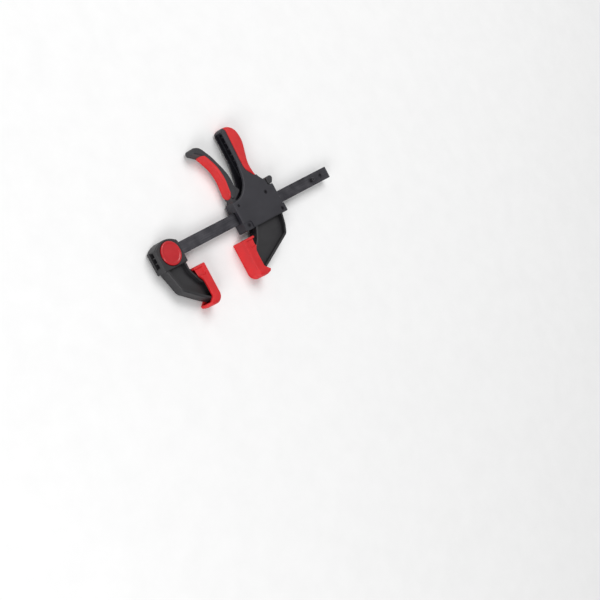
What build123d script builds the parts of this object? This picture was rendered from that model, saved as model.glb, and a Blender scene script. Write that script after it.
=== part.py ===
from build123d import *
import os

# Quick release bar clamp, all sizes in millimetres.
# While it is modelled, X runs along the bar from the fixed pad's face towards the tail, Y = 0 is the
# bar's centre line with the handles at +Y and the jaws at -Y, and Z = 0 is the middle of the thickness
# with the lock button at +Z. The sliding body's own x starts at the moving pad's face.
# Heights above the bar are measured from its upper edge, depths below it from its lower edge.

# ------------------------------------------------------------------ bar
BAR_WIDTH = 16.0
BAR_THICK = 5.6
BAR_FRONT = -56.5
BAR_TAIL = 289.5
BAR_CORNER = 1.2
LOCK_HOLE_RADIUS = 3.0
OPEN_STROKE = 74.0
STOP_GAP = 0.2
STOP_PIN_RADIUS = 2.4
STOP_PIN_LENGTH = 13.0
STOP_PIN_BORE = 1.3
STOP_PIN_SLIT = 0.8
TAIL_HOLE_X = 272.5

# ------------------------------------------------------------------ jaws and pads
JAW_OPENING = 76.0
PAD_TOP_DEPTH = 20.0
PAD_BOTTOM_DEPTH = 72.3
PAD_HALF = 11.0
PAD_CHEEK = 3.3
PAD_PLATE = 5.0
PAD_CHEEK_REACH = 12.9
PAD_PANEL_REACH = 15.4
PAD_PANEL_SINK = 2.1
PAD_TOP_REACH = 21.0
PAD_TOP_WALL = 2.8
PAD_HOOK_REACH = 20.0
PAD_HOOK_WALL = 5.5
PAD_WINDOW_DEPTH = 35.0
PAD_CORNER = 9.0
PAD_INNER_CORNER = 3.0
PAD_EDGE = 1.2
PAD_FIT = 0.1
TIP_FLAT = 5.0
TIP_CORNER = PAD_INNER_CORNER + 0.2
FOOT_SETBACK = 2.5
ARM_HALF = 7.6
ARM_RIM = 3.4
ARM_WEB_HALF = 2.0
ARM_EDGE = 1.4

# ------------------------------------------------------------------ fixed head
HEAD_REAR = 60.8
HEAD_FRONT = 20.0
HEAD_HALF = 8.8
HEAD_RISE = 10.2
HEAD_SHOULDER = 3.0
HEAD_DROP = 9.8
HEAD_EDGE = 1.6
HEAD_CORNER = 1.5
HEAD_SLOT_FIT = 0.15
REAR_WINDOW_HALF = 2.8
REAR_WINDOW_HEIGHT = 5.6
REAR_WINDOW_RIB = 1.4
REAR_PANEL = 11.0
REAR_PANEL_HALF = 3.4
REAR_PANEL_SINK = 1.2
HEAD_FLOOR = 1.6

# ------------------------------------------------------------------ lock button
BUTTON_X = -40.0
BUTTON_RADIUS = 15.4
BUTTON_THICK = 2.5
BUTTON_DISH = 0.6
BUTTON_RIM = 1.6
BUTTON_GAP = 0.7
BUTTON_EDGE = 0.8
LEG_HALF = 4.0
LEG_THICK = 2.8
LEG_GAP = 0.6
LEG_ROOM = 0.4
LOCK_PLATE_THICK = 1.6
LOCK_PLATE_GAP = 0.5
LOCK_PLATE_CORNER = 1.0
LOCK_STUD_FIT = 0.1
LOCK_FREE = 0.3
LOCK_SCREW_RADIUS = 0.9
LOCK_SCREW_HEAD = 1.4
LOCK_SCREW_LENGTH = 5.0
SCREW_END_ROOM = 0.3
LOCK_WIRE = 0.35
LOCK_SPRING_RADIUS = 6.4
LOCK_SPRING_TOP = 3.6
LOCK_SPRING_TURNS = 2.5
LOCK_SPRING_SLACK = 0.2

# ------------------------------------------------------------------ housing
HOUSING_HALF = 8.75
HOUSING_WALL = 2.4
HOUSING_FRONT = 17.0
HOUSING_REAR = 100.2
HOUSING_RISE = 12.5
HOUSING_DROP = 12.5
HOUSING_EDGE = 1.8
BAR_FIT = 0.25
GRIP_SKIN = 2.2
GRIP_HALF = 10.2
GRIP_SIDE_SKIN = 1.85
GRIP_FRONT = 64.9
GRIP_EDGE = 7.0
HANDLE_FRONT = 59.6
CROWN_ROUND = 6.4
SLOT_ROUND = 5.0
HANDLE_TOP = 104.5
RIB_THICK = 1.6
RIB_PITCH = 8.4
RIB_COUNT = 7
RIB_FIRST = 43.0
RIB_SETBACK = 7.5
SCREW_RADIUS = 1.45
SCREW_HEAD_RADIUS = 2.9
SCREW_HEAD_THICK = 1.1
SCREW_FIT = 0.05
SCREW_SINK = 0.3
SCREW_SOCKET_DEPTH = 0.8
SCREW_TIP = 5.5
SCREW_SOCKET = 1.2
BOSS_RADIUS = 3.2
SCREWS = [(79.8, BAR_WIDTH / 2 + 6.1), (25.6, -BAR_WIDTH / 2 - 6.3), (94.9, -BAR_WIDTH / 2 - 7.2)]
TAB_SINK = 1.0
TAB_CORNER = 4.0
FRONT_TAB = (32.0, -9.4)
REAR_TAB = (91.6, -8.8)
REAR_TAB_REACH = 2.2
HEEL_CORNER = 1.5
TONGUE_HALF = 6.2
TONGUE_TIP_HALF = 5.15
TONGUE_FRONT = 19.7
TONGUE_REAR = 80.5
ROOT_DEPTH = 8.0
TONGUE_FIT = 0.2
ARM_FIT = 0.1

# ------------------------------------------------------------------ trigger and drive
PIVOT_X = 24.1
PIVOT_RISE = 5.6
PIVOT_RADIUS = 2.0
PIVOT_FIT = 0.08
PIVOT_BOSS = 4.2
PIVOT_SINK = 0.3
PIVOT_CHAMFER = 0.4
TRIGGER_HALF = 8.0
TRIGGER_ROOT_HALF = 5.8
TRIGGER_WALL = 2.2
TRIGGER_FRONT_WALL = 3.4
TRIGGER_EDGE = 1.6
CAM_RISE = 5.6
CAM_RADIUS = 4.4
INSERT_HALF = 8.0
INSERT_DEPTH = 1.4
INSERT_PROUD = 1.3
INSERT_LOW = 18.2
INSERT_HIGH = 81.2
INSERT_TOP_CORNER = 5.0
PLATE_HALF = 5.8
DRIVE_PLATE_THICK = 2.8
DRIVE_PLATE_GAP = 0.2
DRIVE_PLATE_RISE = 12.3
DRIVE_PLATE_DROP = 3.6
DRIVE_PLATE_COUNT = 2
PLATE_SLOT_FIT = 0.4
PLATE_CORNER = 1.2
PLATE_ROOM = 0.5
DRIVE_STROKE = 2.5
DRIVE_WIRE = 0.5
DRIVE_SPRING_RADIUS = 3.1
DRIVE_SPRING_TURNS = 8
DRIVE_SPRING_RISE = 5.0
SPRING_SEAT_X = 66.0
SPRING_SEAT_THICK = 2.4

# ------------------------------------------------------------------ brake
BRAKE_X = 86.5
BRAKE_RISE = 4.0
BRAKE_TILT = 6.5
BRAKE_THICK = 3.0
BRAKE_HALF = 5.5
BRAKE_DROP = 7.0
BRAKE_SLOT_FIT = 0.5
BRAKE_SEAT_GAP = 0.4
LEVER_NOTCH = 9.0
BRAKE_SPRING_WIRE = 0.3
BRAKE_SPRING_RADIUS = 2.0
BRAKE_SPRING_TURNS = 3
BRAKE_SPRING_DROP = 4.0
BRAKE_SPRING_GAP = 0.2
BRAKE_SEAT_X = 90.3
KNOB_HALF = 8.0
KNOB_EDGE = 1.6

BAR_TOP = BAR_WIDTH / 2
BAR_LOW = -BAR_WIDTH / 2
BAR_HALF = BAR_THICK / 2
TIP_LOW = BAR_LOW - PAD_BOTTOM_DEPTH + PAD_HOOK_WALL + PAD_FIT
FOOT_TOP = BAR_LOW - PAD_WINDOW_DEPTH - FOOT_SETBACK
PAD_MIDDLE = BAR_LOW - (PAD_TOP_DEPTH + PAD_BOTTOM_DEPTH - PAD_CORNER) / 2
ORIGIN = Pos(0, -PAD_MIDDLE, 0)
BODY = Pos(JAW_OPENING, 0, 0)
SCREW_FACES = [HOUSING_HALF, HOUSING_HALF - TAB_SINK, HOUSING_HALF - TAB_SINK]
CROWN_FROM = BAR_TOP + 72
STOP_PIN_X = JAW_OPENING + HOUSING_REAR + OPEN_STROKE + STOP_GAP + STOP_PIN_RADIUS


# ------------------------------------------------------------------ helpers
def outline(points, radii):
    """Face bounded by straight runs whose corners are tangent arcs of the given radii."""
    return make_face(FilletPolyline(*points, radius=radii, close=True))


def slab(face, low, high):
    """The face carried along Z from low to high."""
    return extrude(Pos(0, 0, low) * face, amount=high - low, dir=(0, 0, 1))


def block(x0, x1, y0, y1, z0, z1):
    """Box between two corners."""
    return Pos((x0 + x1) / 2, (y0 + y1) / 2, (z0 + z1) / 2) * Box(x1 - x0, y1 - y0, z1 - z0)


def rod(x, y, radius, z0, z1):
    """Round bar along Z."""
    return Pos(x, y, (z0 + z1) / 2) * Cylinder(radius, z1 - z0)


def round_faces(solid, radius):
    """Rounds the outer edges of the flat faces that close a slab in Z."""
    flats = [solid.faces().sort_by(Axis.Z)[0], solid.faces().sort_by(Axis.Z)[-1]]
    return fillet([edge for face in flats for edge in face.edges()], radius)


def coil(radius, wire, length, turns, top_radius=None):
    """Open coil spring along +Z from the origin: a round wire swept along a helix, plain or conical."""
    rise = length - 2 * wire
    top = radius if top_radius is None else top_radius
    slope = 0.0 if top == radius else Vector(top - radius, rise, 0).get_angle(Vector(0, 1, 0))
    path = Helix(rise / turns, rise, radius, cone_angle=-slope if top < radius else slope)
    section = Plane(path @ 0, z_dir=path % 0) * Circle(wire)
    return Pos(0, 0, wire) * sweep(section, path=path)


def i_beam(face, rim, half, web):
    """Moulded arm of I section: the outline at full width, cored from both sides to a rim and a web."""
    core = offset(face, -rim)
    arm = round_faces(slab(face, -half, half), ARM_EDGE)
    return arm - slab(core, web, half + 1) - slab(core, -half - 1, -web)


def export(name, *solids):
    """Writes one node in the part's own frame."""
    moved = [ORIGIN * solid for solid in solids]
    shape = moved[0] if len(moved) == 1 else Compound(children=moved)
    export_step(shape, f"parts/{name}.step")


# ------------------------------------------------------------------ bar and stop pin
def make_bar():
    ends = [(BAR_FRONT, BAR_LOW), (BAR_TAIL, BAR_LOW), (BAR_TAIL, BAR_TOP), (BAR_FRONT, BAR_TOP)]
    bar = slab(outline(ends, [BAR_CORNER] * 4), -BAR_HALF, BAR_HALF)
    for x in (BUTTON_X, TAIL_HOLE_X):
        bar -= rod(x, 0, LOCK_HOLE_RADIUS, -BAR_THICK, BAR_THICK)
    return bar - rod(STOP_PIN_X, 0, STOP_PIN_RADIUS + SCREW_FIT, -BAR_THICK, BAR_THICK)


def make_stop_pin():
    """Slotted spring pin, standing out of both faces of the bar."""
    pin = rod(STOP_PIN_X, 0, STOP_PIN_RADIUS, -STOP_PIN_LENGTH / 2, STOP_PIN_LENGTH / 2)
    pin -= rod(STOP_PIN_X, 0, STOP_PIN_BORE, -STOP_PIN_LENGTH, STOP_PIN_LENGTH)
    half = STOP_PIN_SLIT / 2
    slit = block(0, STOP_PIN_RADIUS * 2, -half, half, -STOP_PIN_LENGTH, STOP_PIN_LENGTH)
    return pin - Pos(STOP_PIN_X, 0, 0) * slit


# ------------------------------------------------------------------ pads
def make_pad():
    """Soft boot for an arm's tip, with its face at x = 0 and its back towards +x."""
    top = BAR_LOW - PAD_TOP_DEPTH
    bottom = BAR_LOW - PAD_BOTTOM_DEPTH
    hook = bottom + PAD_HOOK_WALL
    boot = [
        (0, top),
        (PAD_TOP_REACH, top),
        (PAD_TOP_REACH, top - PAD_TOP_WALL),
        (PAD_PANEL_REACH, top - PAD_TOP_WALL),
        (PAD_CHEEK_REACH + 1.2, BAR_LOW - PAD_WINDOW_DEPTH),
        (PAD_CHEEK_REACH, BAR_LOW - PAD_WINDOW_DEPTH - 9),
        (PAD_CHEEK_REACH, hook + 5.6),
        (PAD_HOOK_REACH - 1, hook + 0.8),
        (PAD_HOOK_REACH, hook - 1.8),
        (PAD_HOOK_REACH - 4, bottom),
        (0, bottom),
    ]
    radii = [1, 1, 0.6, 1.5, 12, 12, 4, 1.2, 0.8, 2.8, PAD_CORNER]
    pad = round_faces(slab(outline(boot, radii), -PAD_HALF, PAD_HALF), PAD_EDGE)
    inside = PAD_HALF - PAD_CHEEK
    hollow = [
        (PAD_PLATE, top - PAD_TOP_WALL),
        (PAD_TOP_REACH + 5, top - PAD_TOP_WALL),
        (PAD_TOP_REACH + 5, hook),
        (PAD_PLATE, hook),
    ]
    pad -= slab(outline(hollow, [0, 0, 0, PAD_INNER_CORNER]), -inside, inside)
    window = [
        (PAD_PLATE, top - PAD_TOP_WALL),
        (PAD_TOP_REACH + 5, top - PAD_TOP_WALL),
        (PAD_TOP_REACH + 5, BAR_LOW - PAD_WINDOW_DEPTH + 4),
        (PAD_PLATE, BAR_LOW - PAD_WINDOW_DEPTH),
    ]
    panel = outline(window, [0, 0, 0, 4])
    floor_z = PAD_HALF - PAD_PANEL_SINK
    return pad - slab(panel, floor_z, PAD_HALF + 1) - slab(panel, -PAD_HALF - 1, -floor_z)


def arm_tip():
    """Points round the arm's nose inside the pad, from the lower flange to the front above the foot."""
    return [
        (PAD_PLATE + PAD_FIT + TIP_FLAT, TIP_LOW),
        (PAD_PLATE + PAD_FIT, TIP_LOW),
        (PAD_PLATE + PAD_FIT, FOOT_TOP),
    ]


# ------------------------------------------------------------------ fixed jaw
def make_fixed_jaw():
    """Head block with the bar socket and the button's pocket, and the I-beam arm below it."""
    low = BAR_LOW - HEAD_DROP
    shoulder = BAR_TOP + HEAD_SHOULDER
    peak = (-BUTTON_X + 2, BAR_TOP + HEAD_RISE)
    crown = ThreePointArc((HEAD_FRONT, shoulder), peak, (HEAD_REAR, shoulder))
    sides = Polyline((HEAD_REAR, shoulder), (HEAD_REAR, low), (HEAD_FRONT, low), (HEAD_FRONT, shoulder))
    head = slab(make_face([crown, sides]), -HEAD_HALF, HEAD_HALF)
    head = fillet(head.edges().filter_by(Axis.Z), HEAD_CORNER)
    head = round_faces(head, HEAD_EDGE)
    arm = [
        (HEAD_REAR - 3, low + 5),
        (HEAD_REAR - 3, low),
        (HEAD_REAR - 11.5, TIP_LOW + 27.2),
        (22.6, TIP_LOW + 7.4),
        *arm_tip(),
        (13.2, FOOT_TOP - 2),
        (PAD_TOP_REACH + 2.4, BAR_LOW - PAD_TOP_DEPTH + 0.5),
        (PAD_TOP_REACH + 2, low),
        (PAD_TOP_REACH + 2, low + 5),
    ]
    radii = [1.6, 6, 9, 20, 3, TIP_CORNER, 1.6, 6, 14, 4, 1.6]
    jaw = head + i_beam(outline(arm, radii), ARM_RIM, ARM_HALF, ARM_WEB_HALF)
    jaw = mirror(jaw, about=Plane.YZ)
    slot_y = BAR_TOP + HEAD_SLOT_FIT
    slot_z = BAR_HALF + HEAD_SLOT_FIT
    jaw -= block(BAR_FRONT - HEAD_SLOT_FIT, 0, -slot_y, slot_y, -slot_z, slot_z)
    deep = REAR_PANEL_SINK - HEAD_REAR
    jaw -= block(-HEAD_REAR - 1, deep, -REAR_PANEL, REAR_PANEL, -REAR_PANEL_HALF, REAR_PANEL_HALF)
    half = REAR_WINDOW_HEIGHT / 2
    for i in (-1, 0, 1):
        y = i * (REAR_WINDOW_HEIGHT + REAR_WINDOW_RIB)
        jaw -= block(-HEAD_REAR - 1, BAR_FRONT, y - half, y + half, -REAR_WINDOW_HALF, REAR_WINDOW_HALF)
    floor_z = BAR_HALF + HEAD_FLOOR
    jaw -= rod(BUTTON_X, 0, BUTTON_RADIUS + BUTTON_GAP, floor_z, HEAD_HALF + 1)
    leg_out = BAR_TOP + LEG_GAP + LEG_THICK + LEG_ROOM
    room = LEG_HALF + LEG_ROOM
    jaw -= block(BUTTON_X - room, BUTTON_X + room, -leg_out, leg_out, -HEAD_HALF - 1, -BAR_HALF)
    for side in (-1, 1):
        low_y, high_y = sorted((side * (BAR_TOP - 0.5), side * leg_out))
        jaw -= block(BUTTON_X - room, BUTTON_X + room, low_y, high_y, -HEAD_HALF - 1, floor_z + 1)
    return jaw


# ------------------------------------------------------------------ lock button
LOCK_TRAVEL = BAR_HALF + LOCK_FREE
BUTTON_UNDER = BAR_HALF + HEAD_FLOOR + LOCK_TRAVEL + 2 * LOCK_WIRE + LOCK_SPRING_SLACK
LOCK_PLATE_TOP = -BAR_HALF - LOCK_PLATE_GAP
LEG_Y = BAR_TOP + LEG_GAP + LEG_THICK / 2


def make_lock_button():
    """Dished disc with two legs that pass the bar above and below."""
    top = BUTTON_UNDER + BUTTON_THICK
    disc = rod(0, 0, BUTTON_RADIUS, BUTTON_UNDER, top)
    disc = fillet(disc.edges().filter_by(GeomType.CIRCLE).sort_by(Axis.Z)[-1], BUTTON_EDGE)
    disc -= rod(0, 0, BUTTON_RADIUS - BUTTON_RIM, top - BUTTON_DISH, top + 1)
    for y in (-LEG_Y, LEG_Y):
        leg = block(-LEG_HALF, LEG_HALF, y - LEG_THICK / 2, y + LEG_THICK / 2, LOCK_PLATE_TOP, BUTTON_UNDER)
        hole = rod(0, y, LOCK_SCREW_RADIUS + SCREW_FIT, LOCK_PLATE_TOP, LOCK_PLATE_TOP + LOCK_SCREW_LENGTH)
        disc += leg
        disc -= hole
    return Pos(BUTTON_X, 0, 0) * disc


def make_lock_plate():
    """Steel strap under the bar, with the stud that stands in the bar's hole."""
    low = LOCK_PLATE_TOP - LOCK_PLATE_THICK
    reach = LEG_Y + LEG_THICK / 2
    plate = block(-LEG_HALF, LEG_HALF, -reach, reach, low, LOCK_PLATE_TOP)
    plate = fillet(plate.edges().filter_by(Axis.Z), LOCK_PLATE_CORNER)
    plate += rod(0, 0, LOCK_HOLE_RADIUS - LOCK_STUD_FIT, LOCK_PLATE_TOP, 0)
    for y in (-LEG_Y, LEG_Y):
        plate -= rod(0, y, LOCK_SCREW_RADIUS + SCREW_FIT, low, LOCK_PLATE_TOP)
        plate -= rod(0, y, LOCK_SCREW_HEAD + SCREW_FIT, low, low + LOCK_PLATE_THICK / 2)
    return Pos(BUTTON_X, 0, 0) * plate


def make_lock_screws():
    low = LOCK_PLATE_TOP - LOCK_PLATE_THICK
    screws = []
    for y in (-LEG_Y, LEG_Y):
        screw = rod(0, y, LOCK_SCREW_HEAD, low, low + LOCK_PLATE_THICK / 2)
        screw += rod(0, y, LOCK_SCREW_RADIUS, low, LOCK_PLATE_TOP + LOCK_SCREW_LENGTH - SCREW_END_ROOM)
        screws.append(Pos(BUTTON_X, 0, 0) * screw)
    return screws


def make_lock_spring():
    floor_z = BAR_HALF + HEAD_FLOOR
    spring = coil(LOCK_SPRING_RADIUS, LOCK_WIRE, BUTTON_UNDER - floor_z, LOCK_SPRING_TURNS, LOCK_SPRING_TOP)
    return Pos(BUTTON_X, 0, floor_z) * spring


# ------------------------------------------------------------------ moving jaw
def moving_arm_face():
    root = BAR_LOW - ROOT_DEPTH
    edge = BAR_LOW - HOUSING_DROP
    arm = [
        (HOUSING_REAR - 8.8, root),
        (HOUSING_REAR - 8.6, edge),
        (87.0, TIP_LOW + 39.4),
        (80.6, TIP_LOW + 28.0),
        (16.0, TIP_LOW + 1.6),
        *arm_tip(),
        (14.0, FOOT_TOP - 0.5),
        (27.5, FOOT_TOP + 11.5),
        (35.5, edge),
        (37.5, root),
    ]
    return outline(arm, [1.6, 6, 20, 9, 4, 3, TIP_CORNER, 1.6, 5, 22, 10, 1.6])


def make_moving_jaw():
    """I-beam arm with the tongue that lies under the bar between the housing halves."""
    jaw = i_beam(moving_arm_face(), ARM_RIM, ARM_HALF, ARM_WEB_HALF)
    low = BAR_LOW - HOUSING_DROP + HOUSING_WALL + TONGUE_FIT
    high = BAR_LOW - BAR_FIT
    step = FRONT_TAB[0] + 1 + TONGUE_FIT
    jaw += block(TONGUE_FRONT, step + 1, low, high, -TONGUE_TIP_HALF, TONGUE_TIP_HALF)
    jaw += block(step, TONGUE_REAR, low, high, -TONGUE_HALF, TONGUE_HALF)
    front, rear = drive_plate_span()
    pocket = BAR_LOW - DRIVE_PLATE_DROP - PLATE_ROOM
    jaw -= block(front - PLATE_ROOM, rear + PLATE_ROOM, pocket, 0, -TONGUE_HALF - 1, TONGUE_HALF + 1)
    x, y = SCREWS[1]
    return jaw - rod(x, y, SCREW_RADIUS + SCREW_FIT, -ARM_HALF, ARM_HALF)


# ------------------------------------------------------------------ housing
HANDLE_BACK = [
    (HOUSING_REAR - 9.6, BAR_TOP + HOUSING_RISE + 7.7),
    (80.5, BAR_TOP + 30),
    (77.5, BAR_TOP + 48),
    (89.0, BAR_TOP + 80),
    (85.0, BAR_TOP + HANDLE_TOP),
]
HANDLE_BACK_RADII = [22, 30, 30, 17]


def body_face():
    """Side outline of body, neck and handle."""
    top = BAR_TOP + HOUSING_RISE
    low = BAR_LOW - HOUSING_DROP
    points = [
        (HOUSING_FRONT, low),
        (HOUSING_REAR, low),
        (HOUSING_REAR, top),
        (HOUSING_REAR - 8.7, top),
        *HANDLE_BACK,
        (HANDLE_FRONT, BAR_TOP + HANDLE_TOP),
        (HANDLE_FRONT, BAR_TOP + 58),
        (49.0, top),
        (HOUSING_FRONT, top),
    ]
    return outline(points, [2, 2, 1.5, 0.8, 3, *HANDLE_BACK_RADII, 7, 60, 34, 2])


def grip_zone():
    """Region of the side view that the soft grip covers."""
    high = BAR_TOP + HANDLE_TOP + 10
    far = HOUSING_REAR + 20
    points = [
        (GRIP_FRONT + 2.2, high),
        (GRIP_FRONT, BAR_TOP + 60),
        (GRIP_FRONT, BAR_TOP + 44.5),
        (75.8, BAR_TOP + 32.2),
        (far, BAR_TOP + 26),
        (far, high),
    ]
    return outline(points, [0, 60, 14, 4, 0, 0])


def grip_core():
    """The part of the handle under the soft grip."""
    half = HOUSING_HALF - GRIP_SIDE_SKIN
    return slab(offset(body_face(), -GRIP_SKIN), -half, half)


def throat_opening():
    """Mouth of the channel in front of the handle, where the trigger swings in."""
    top = BAR_TOP + HANDLE_TOP - HOUSING_WALL - 2
    reach = HANDLE_FRONT + GRIP_SKIN + HOUSING_WALL + 0.5
    points = [
        (HOUSING_FRONT + 2.2, BAR_TOP + 8),
        (HOUSING_FRONT + 2.2, BAR_TOP + 45),
        (HANDLE_FRONT - 10, top),
        (reach, top),
        (reach, BAR_TOP + 25),
        (HOUSING_FRONT + 30, BAR_TOP + 8),
    ]
    return outline(points, [0, 0, 0, 3, 0, 0])


def make_housing_half():
    """The half at +Z, without its screw holes."""
    face = body_face()
    half = fillet(slab(face, 0, HOUSING_HALF).faces().sort_by(Axis.Z)[-1].edges(), HOUSING_EDGE)
    zone = slab(grip_zone(), -1, HOUSING_HALF + 1)
    half -= (slab(face, -1, HOUSING_HALF + 1) & zone) - grip_core()
    room = HOUSING_HALF - HOUSING_WALL
    wide = slab(offset(face, -HOUSING_WALL), -1, room)
    wide -= Pos(-HOUSING_WALL, -HOUSING_WALL, 0) * zone
    deep = slab(offset(face, -GRIP_SKIN - HOUSING_WALL), -1, room - GRIP_SIDE_SKIN)
    mouth = slab(throat_opening(), -1, room)
    above = block(0, HOUSING_REAR + 30, CROWN_FROM, BAR_TOP + HANDLE_TOP + 10, -1, HOUSING_HALF + 1)
    hollow = wide + deep + mouth
    slot_top = handle_swell(HOUSING_WALL, room, SLOT_ROUND)
    half -= (hollow - above) + (hollow & above & slot_top)
    half -= above - handle_swell(0, HOUSING_HALF, CROWN_ROUND)
    half += handle_ribs(room) & slab(offset(face, -GRIP_SKIN - 0.5), 0, room)
    half += inner_walls(room)
    half -= screw_tabs()
    low = BAR_LOW - HOUSING_DROP
    heel_end = HOUSING_REAR + REAR_TAB_REACH
    heel = block(HOUSING_REAR - 3, heel_end, low, REAR_TAB[1], 0, HOUSING_HALF - TAB_SINK)
    half += fillet(heel.edges().filter_by(Axis.Z).sort_by(Axis.X)[-2:], HEEL_CORNER)
    slot_y = BAR_TOP + BAR_FIT
    half -= block(0, HOUSING_REAR + 5, -slot_y, slot_y, -1, BAR_HALF + BAR_FIT)
    half -= slab(offset(moving_arm_face(), ARM_FIT), -1, ARM_HALF + ARM_FIT)
    lever_room = block(0, HOUSING_REAR - BRAKE_X + 5, 0, HOUSING_RISE, -1, BRAKE_HALF + PLATE_ROOM)
    return half - Pos(BRAKE_X + PLATE_ROOM, BAR_TOP + LEVER_NOTCH, 0) * lever_room


def handle_swell(inset, half, rounding):
    """Handle region inside its outline by an inset, rounded over at the back and the crown."""
    front = HANDLE_FRONT - 20
    top = BAR_TOP + HANDLE_TOP
    around = [(front, BAR_TOP), (HOUSING_REAR + 10, BAR_TOP), *HANDLE_BACK[1:], (front, top)]
    face = outline(around, [GRIP_EDGE + 1, GRIP_EDGE + 1, *HANDLE_BACK_RADII, GRIP_EDGE + 1])
    return round_faces(slab(offset(face, -inset) if inset else face, -half, half), rounding)


def screw_tabs():
    """Space above the two lower corners, whose screws sit on a lower level than the body's flat."""
    floor_z = HOUSING_HALF - TAB_SINK
    low = BAR_LOW - HOUSING_DROP - 5
    x, y = FRONT_TAB
    far = HOUSING_FRONT - 5
    front = outline([(far, low), (x, low), (x, y), (far, y)], [0, 0, TAB_CORNER, 0])
    x, y = REAR_TAB
    far = HOUSING_REAR + 5
    rear = outline([(x, low), (far, low), (far, y), (x, y)], [0, 0, 0, TAB_CORNER])
    return slab(front, floor_z, HOUSING_HALF + 1) + slab(rear, floor_z, HOUSING_HALF + 1)


def handle_ribs(room):
    """Cross ribs of the handle channel, set back from its mouth."""
    ribs = Part()
    for i in range(RIB_COUNT):
        y = BAR_TOP + RIB_FIRST + i * RIB_PITCH
        ribs += block(HANDLE_FRONT + RIB_SETBACK, HOUSING_REAR, y, y + RIB_THICK, 0, room)
    return ribs


def inner_walls(room):
    """Seats for the drive spring and the brake, the screw bosses and the backing of the front tab."""
    ceiling = BAR_TOP + HOUSING_RISE - 0.5
    seat_end = SPRING_SEAT_X + SPRING_SEAT_THICK
    walls = block(SPRING_SEAT_X, seat_end, BAR_TOP + BAR_FIT, ceiling, 0, room)
    fulcrum = BRAKE_X - BRAKE_THICK / 2 - BRAKE_SEAT_GAP
    walls += block(SCREWS[0][0], fulcrum, BAR_TOP + 2.2, BAR_TOP + BRAKE_RISE + 1, 0, room)
    walls += block(BRAKE_SEAT_X, SCREWS[2][0], BAR_LOW - BRAKE_SPRING_DROP - 3, BAR_LOW - 1, 0, room)
    for x, y in (SCREWS[0], SCREWS[2]):
        walls += rod(x, y, BOSS_RADIUS, 0, room)
    start = HOUSING_FRONT + 1
    low = BAR_LOW - HOUSING_DROP + 1
    under_plates = BAR_LOW - DRIVE_PLATE_DROP - PLATE_ROOM
    plates = drive_plate_span()[0] - PLATE_ROOM
    walls += block(start, FRONT_TAB[0] + 1, low, under_plates, room - TAB_SINK, room)
    return walls + block(start, plates, low, FRONT_TAB[1], room - TAB_SINK, room)


def make_housing_right():
    """Half on the button's side, which the screws enter."""
    half = make_housing_half()
    for (x, y), face_z in zip(SCREWS, SCREW_FACES):
        seat = face_z - SCREW_HEAD_THICK - SCREW_SINK
        half -= rod(x, y, SCREW_RADIUS + SCREW_FIT, -1, HOUSING_HALF)
        half -= rod(x, y, SCREW_HEAD_RADIUS + SCREW_FIT, seat, HOUSING_HALF + 1)
    return half - rod(PIVOT_X, BAR_TOP + PIVOT_RISE, PIVOT_RADIUS + SCREW_FIT, -1, HOUSING_HALF + 1)


def make_housing_left():
    """Half on the far side, which the screws bite into."""
    half = make_housing_half()
    for x, y in SCREWS:
        half -= rod(x, y, SCREW_RADIUS + SCREW_FIT, -1, SCREW_TIP)
    half -= rod(PIVOT_X, BAR_TOP + PIVOT_RISE, PIVOT_RADIUS + SCREW_FIT, -1, HOUSING_HALF + 1)
    return mirror(half, about=Plane.XY)


def make_housing_screws():
    screws = []
    for (x, y), face_z in zip(SCREWS, SCREW_FACES):
        top = face_z - SCREW_SINK
        screw = rod(x, y, SCREW_RADIUS, SCREW_END_ROOM - SCREW_TIP, top)
        screw += rod(x, y, SCREW_HEAD_RADIUS, top - SCREW_HEAD_THICK, top)
        socket = Pos(x, y, top - SCREW_SOCKET_DEPTH) * extrude(RegularPolygon(SCREW_SOCKET, 6), amount=2)
        screws.append(screw - socket)
    return screws


def make_trigger_pin():
    half = HOUSING_HALF - PIVOT_SINK
    pin = rod(PIVOT_X, BAR_TOP + PIVOT_RISE, PIVOT_RADIUS, -half, half)
    return chamfer(pin.edges().filter_by(GeomType.CIRCLE), PIVOT_CHAMFER)


def make_handle_grip():
    """Soft grip round the handle's back and sides."""
    grip = handle_swell(0, GRIP_HALF, GRIP_EDGE) & slab(grip_zone(), -GRIP_HALF, GRIP_HALF)
    return grip - grip_core()


# ------------------------------------------------------------------ trigger
def trigger_face():
    """Side outline of the finger part."""
    points = [
        (-2.4, BAR_TOP + 96.8),
        (-2.6, BAR_TOP + 89.8),
        (11.8, BAR_TOP + 81.2),
        (22.3, BAR_TOP + 62),
        (24.8, BAR_TOP + 44),
        (21.6, BAR_TOP + 25),
        (23.0, BAR_TOP + 15.5),
        (28.0, BAR_TOP + 17.8),
        (34.8, BAR_TOP + 29),
        (36.2, BAR_TOP + 44),
        (30.6, BAR_TOP + 60),
        (22.6, BAR_TOP + 77.5),
        (11.2, BAR_TOP + 94),
    ]
    return outline(points, [3.6, 3.4, 14, 40, 40, 16, 2.5, 2, 6, 40, 60, 40, 14])


def trigger_root_face():
    """Side outline of the narrow root between the housing walls."""
    points = [
        (PIVOT_X - PIVOT_BOSS, BAR_TOP + PIVOT_RISE),
        (23.2, BAR_TOP + 26),
        (33.0, BAR_TOP + 36),
        (42.3, BAR_TOP + 23.4),
        (PIVOT_X + 9.4, BAR_TOP + 18.4),
        (PIVOT_X + 2.5, BAR_TOP + 15.0),
    ]
    return outline(points, [0, 2, 3, 2, 2, 0])


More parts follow.
